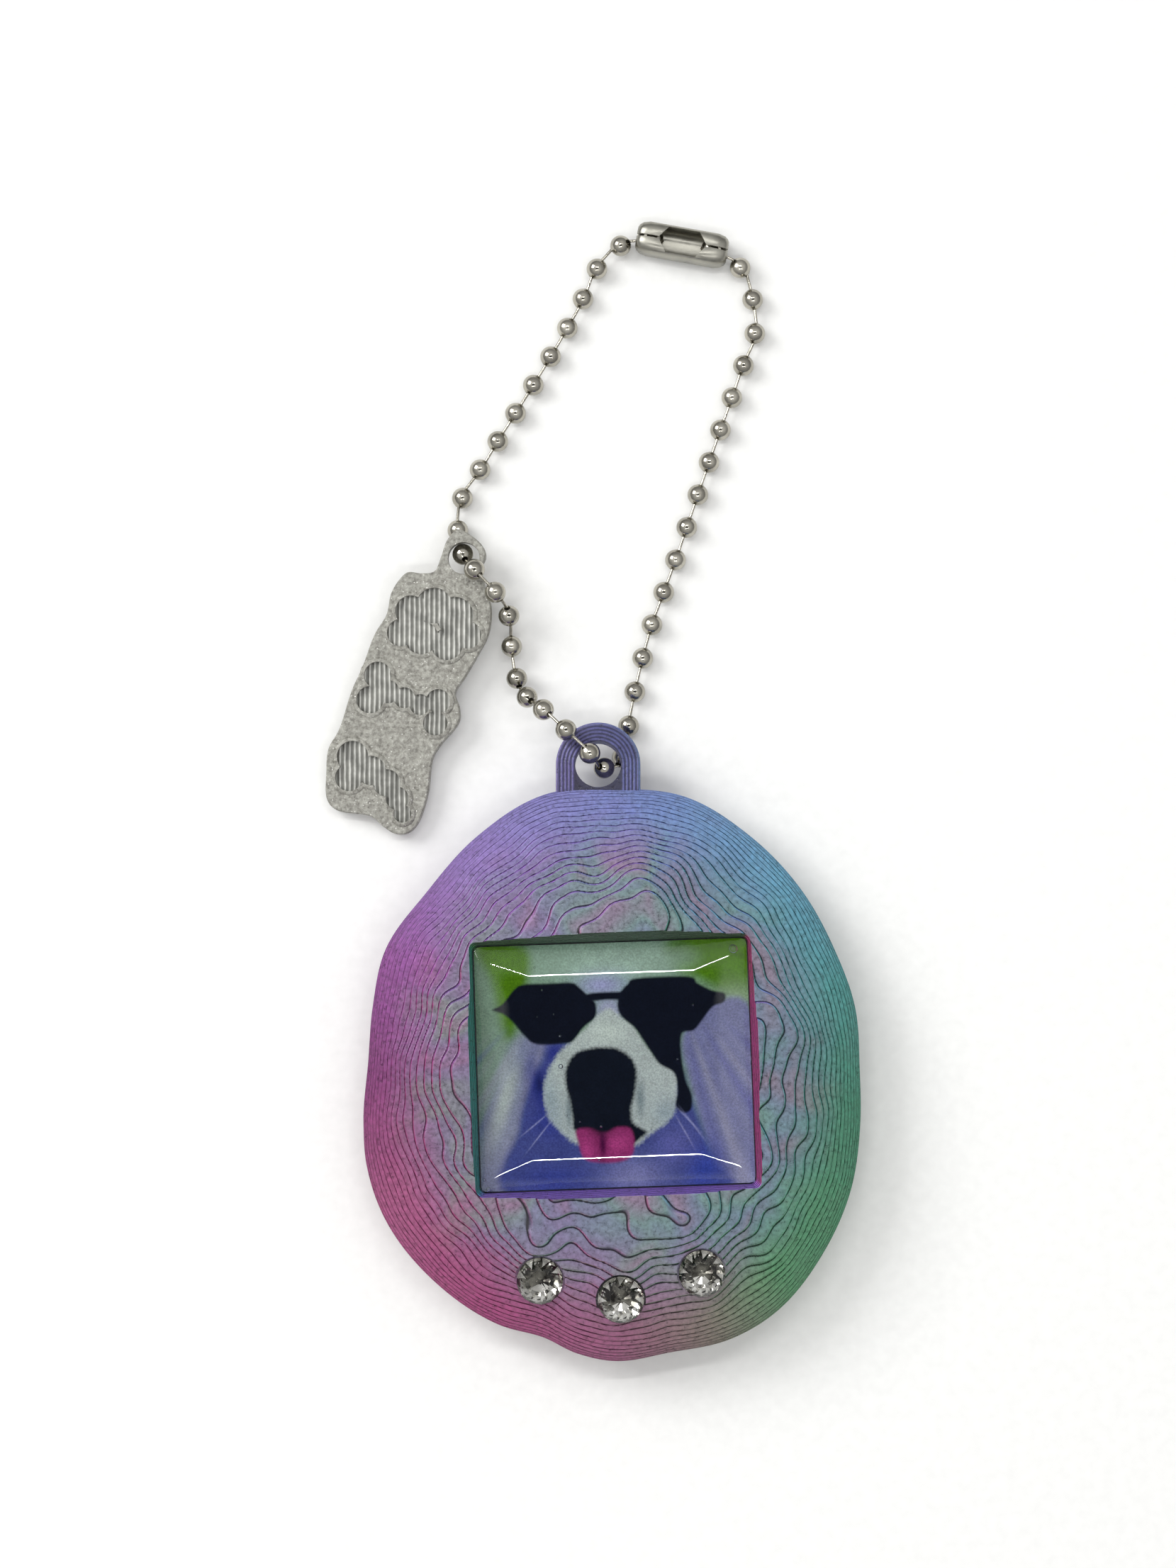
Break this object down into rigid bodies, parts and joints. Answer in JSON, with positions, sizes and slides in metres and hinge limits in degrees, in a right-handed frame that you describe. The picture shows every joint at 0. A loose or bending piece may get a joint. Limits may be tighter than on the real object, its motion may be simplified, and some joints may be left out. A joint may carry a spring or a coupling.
{
  "type": "virtual pet keychain",
  "caption": "Egg-shaped printed charm with a domed dog picture and glass stones, on a ball chain with a connector and a wavy tag.",
  "frame": {"origin": "centre of the egg's flat back, which rests on the table", "axes": "+Z out of the egg's front, +Y from the egg to its hanging eye and the chain, +X to the right seen from the front"},
  "size_m": [0.0501, 0.1076, 0.0117],
  "materials": {
    "printed_silk": "satin",
    "picture": "gloss",
    "clear_resin": "gloss",
    "crystal": "gloss",
    "nickel": "polished",
    "silver_print": "satin"
  },
  "bodies": {
    "egg": {"egg_body": "printed_silk", "picture_print": "picture", "clear_dome": "clear_resin", "stone_left": "crystal", "stone_middle": "crystal", "stone_right": "crystal"},
    "eyelet_run": {"link_centre": "nickel", "link_left_01": "nickel", "link_left_02": "nickel", "link_left_03": "nickel", "link_left_04": "nickel", "link_right_01": "nickel", "link_right_02": "nickel"},
    "left_05": {"link_left_05": "nickel", "link_left_06": "nickel"},
    "tag_run": {"link_left_07": "nickel", "link_left_08": "nickel", "link_left_09": "nickel", "link_left_10": "nickel", "link_left_11": "nickel"},
    "left_12": {"link_left_12": "nickel", "link_left_13": "nickel"},
    "left_14": {"link_left_14": "nickel", "link_left_15": "nickel"},
    "left_16": {"link_left_16": "nickel", "link_left_17": "nickel"},
    "left_18": {"link_left_18": "nickel", "link_left_19": "nickel"},
    "left_20": {"link_left_20": "nickel", "link_left_21": "nickel"},
    "connector": {"chain_connector": "nickel", "link_left_22": "nickel"},
    "right_03": {"link_right_03": "nickel", "link_right_04": "nickel"},
    "right_05": {"link_right_05": "nickel", "link_right_06": "nickel"},
    "right_07": {"link_right_07": "nickel", "link_right_08": "nickel"},
    "right_09": {"link_right_09": "nickel", "link_right_10": "nickel"},
    "right_11": {"link_right_11": "nickel", "link_right_12": "nickel"},
    "right_13": {"link_right_13": "nickel", "link_right_14": "nickel"},
    "right_15": {"link_right_15": "nickel", "link_right_16": "nickel"},
    "right_17": {"link_right_17": "nickel"},
    "tag": {"charm_tag": "silver_print"}
  },
  "joints": [
    {"name": "chain_swing", "type": "hinge", "parent": "egg", "child": "eyelet_run", "pos_m": [-0.00145, 0.0288, 0.0047], "axis": [0, 0, 1], "range_deg": [-12, 5]},
    {"name": "bend_left_05", "type": "hinge", "parent": "eyelet_run", "child": "left_05", "pos_m": [-0.00851, 0.03577, 0.00325], "axis": [0, 0, 1], "range_deg": [-3.5, 5]},
    {"name": "bend_left_07", "type": "hinge", "parent": "left_05", "child": "tag_run", "pos_m": [-0.0097, 0.04137, 0.00188], "axis": [0, 0, 1], "range_deg": [-2.31, 3.3]},
    {"name": "bend_left_12", "type": "hinge", "parent": "tag_run", "child": "left_12", "pos_m": [-0.01484, 0.05255, 0.00082], "axis": [0, 0, 1], "range_deg": [-0.095, 0.136]},
    {"name": "bend_left_14", "type": "hinge", "parent": "left_12", "child": "left_14", "pos_m": [-0.01213, 0.05828, 0.001], "axis": [0, 0, 1], "range_deg": [-0.6, 0.42]},
    {"name": "bend_left_16", "type": "hinge", "parent": "left_14", "child": "left_16", "pos_m": [-0.00879, 0.06374, 0.001], "axis": [0, 0, 1], "range_deg": [-1.18, 0.83]},
    {"name": "bend_left_18", "type": "hinge", "parent": "left_16", "child": "left_18", "pos_m": [-0.00547, 0.06923, 0.001], "axis": [0, 0, 1], "range_deg": [-1.8, 1.26]},
    {"name": "bend_left_20", "type": "hinge", "parent": "left_18", "child": "left_20", "pos_m": [-0.00247, 0.07489, 0.00101], "axis": [0, 0, 1], "range_deg": [-2.58, 1.8]},
    {"name": "bend_left_22", "type": "hinge", "parent": "left_20", "child": "connector", "pos_m": [0.00162, 0.07951, 0.00136], "axis": [0, 0, 1], "range_deg": [-2.82, 1.98]},
    {"name": "bend_right_03", "type": "hinge", "parent": "eyelet_run", "child": "right_03", "pos_m": [0.00158, 0.03388, 0.00096], "axis": [0, 0, 1], "range_deg": [-1.56, 2.23]},
    {"name": "bend_right_05", "type": "hinge", "parent": "right_03", "child": "right_05", "pos_m": [0.00303, 0.04034, 0.001], "axis": [0, 0, 1], "range_deg": [-1.49, 2.13]},
    {"name": "bend_right_07", "type": "hinge", "parent": "right_05", "child": "right_07", "pos_m": [0.00515, 0.0466, 0.001], "axis": [0, 0, 1], "range_deg": [-1.23, 1.75]},
    {"name": "bend_right_09", "type": "hinge", "parent": "right_07", "child": "right_09", "pos_m": [0.00732, 0.05285, 0.001], "axis": [0, 0, 1], "range_deg": [-0.91, 1.29]},
    {"name": "bend_right_11", "type": "hinge", "parent": "right_09", "child": "right_11", "pos_m": [0.00947, 0.0591, 0.001], "axis": [0, 0, 1], "range_deg": [-0.55, 0.78]},
    {"name": "bend_right_13", "type": "hinge", "parent": "right_11", "child": "right_13", "pos_m": [0.01166, 0.06534, 0.001], "axis": [0, 0, 1], "range_deg": [-0.162, 0.231]},
    {"name": "bend_right_15", "type": "hinge", "parent": "right_13", "child": "right_15", "pos_m": [0.01371, 0.0716, 0.001], "axis": [0, 0, 1], "range_deg": [-0.311, 0.218]},
    {"name": "bend_right_17", "type": "hinge", "parent": "right_15", "child": "right_17", "pos_m": [0.01151, 0.07769, 0.00131], "axis": [0, 0, 1], "range_deg": [-0.267, 0.187]},
    {"name": "tag_swing", "type": "hinge", "parent": "tag_run", "child": "tag", "pos_m": [-0.0141, 0.04865, 0.0032], "axis": [0, 0, 1], "range_deg": [-45, 2]}
  ],
  "couplings": [
    {"joint": "bend_left_07", "follows": "bend_left_05", "ratio": 0.65915},
    {"joint": "bend_left_12", "follows": "bend_left_05", "ratio": 0.02703},
    {"joint": "bend_left_14", "follows": "bend_left_05", "ratio": -0.11935},
    {"joint": "bend_left_16", "follows": "bend_left_05", "ratio": -0.23665},
    {"joint": "bend_left_18", "follows": "bend_left_05", "ratio": -0.36053},
    {"joint": "bend_left_20", "follows": "bend_left_05", "ratio": -0.5156},
    {"joint": "bend_left_22", "follows": "bend_left_05", "ratio": -0.56416},
    {"joint": "bend_right_03", "follows": "bend_left_05", "ratio": 0.44678},
    {"joint": "bend_right_05", "follows": "bend_left_05", "ratio": 0.42654},
    {"joint": "bend_right_07", "follows": "bend_left_05", "ratio": 0.35099},
    {"joint": "bend_right_09", "follows": "bend_left_05", "ratio": 0.25832},
    {"joint": "bend_right_11", "follows": "bend_left_05", "ratio": 0.15598},
    {"joint": "bend_right_13", "follows": "bend_left_05", "ratio": 0.04605},
    {"joint": "bend_right_15", "follows": "bend_left_05", "ratio": -0.06201},
    {"joint": "bend_right_17", "follows": "bend_left_05", "ratio": -0.05329}
  ]
}
